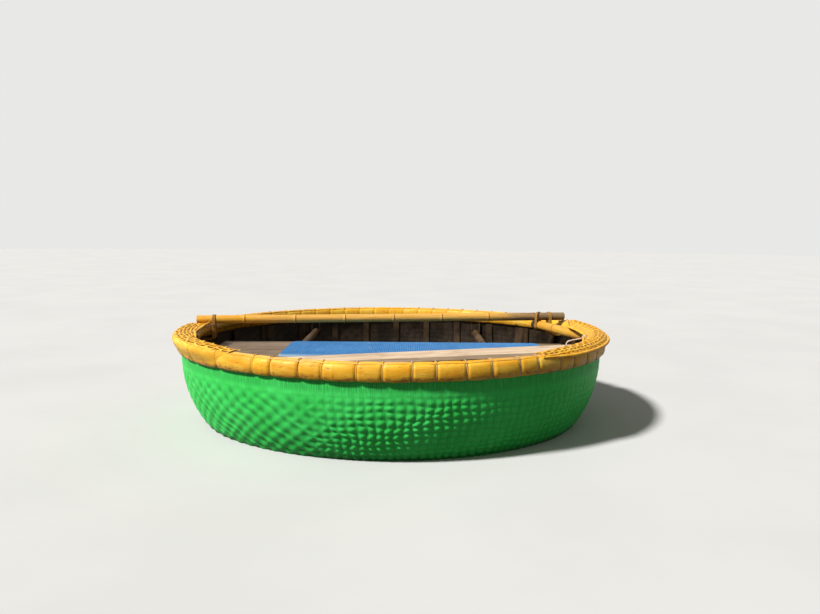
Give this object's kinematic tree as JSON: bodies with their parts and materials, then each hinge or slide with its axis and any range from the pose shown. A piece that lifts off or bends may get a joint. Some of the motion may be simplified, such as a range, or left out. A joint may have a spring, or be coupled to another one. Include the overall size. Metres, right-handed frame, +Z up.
{
  "type": "round basket boat",
  "caption": "Coracle of woven bamboo painted green, with a lashed bamboo rim, woven cane caps, a thwart pole and a plank seat with a ribbed mat.",
  "frame": {"origin": "on the ground under the middle of the boat's flat bottom", "axes": "+X along the longer side of the oval and along the seat, +Y from the seat's front to its back, +Z up"},
  "size_m": [2.1392, 1.8458, 0.6486],
  "materials": {
    "painted_weave": "glossy enamel over woven bamboo, brushed on, thin on the ridges",
    "rim_bamboo": "split bamboo, painted yellow-orange, worn satin",
    "rim_cane": "woven cane, painted yellow-orange, satin",
    "rim_lashing": "cane strip, part painted, part bare",
    "thwart_bamboo": "bare weathered bamboo, satin",
    "cane_tie": "weathered cane strip, matt",
    "raw_bamboo": "tarred split bamboo, dull",
    "seat_wood": "bare sawn board, worn",
    "plank_wood": "bare pale sawn plank, worn",
    "ribbed_mat": "ribbed sheet plastic, satin",
    "pale_cord": "twisted cord, faded"
  },
  "bodies": {
    "root": {"bearer_lashings": "cane_tie", "cane_cap_left": "rim_cane", "cane_cap_right": "rim_cane", "end_pole_left": "rim_bamboo", "end_pole_right": "rim_bamboo", "front_plank": "plank_wood", "hull_basket": "painted_weave", "inner_gunwale_far": "rim_bamboo", "inner_gunwale_left": "rim_bamboo", "inner_gunwale_near": "rim_bamboo", "inner_gunwale_right": "rim_bamboo", "outer_gunwale_far": "rim_bamboo", "outer_gunwale_left": "rim_bamboo", "outer_gunwale_near": "rim_bamboo", "outer_gunwale_right": "rim_bamboo", "plank_tie": "pale_cord", "ribs_crosswise": "raw_bamboo", "ribs_lengthwise": "raw_bamboo", "rim_filler_far": "rim_bamboo", "rim_filler_near": "rim_bamboo", "rim_lashings_far": "rim_lashing", "rim_lashings_left": "rim_lashing", "rim_lashings_near": "rim_lashing", "rim_lashings_right": "rim_lashing", "seat_bearer_left": "raw_bamboo", "seat_bearer_right": "raw_bamboo", "seat_board_back": "seat_wood", "seat_board_front": "seat_wood", "seat_mat": "ribbed_mat", "thwart_lashing_left": "cane_tie", "thwart_lashing_right": "cane_tie", "thwart_pole": "thwart_bamboo"}
  },
  "joints": []
}
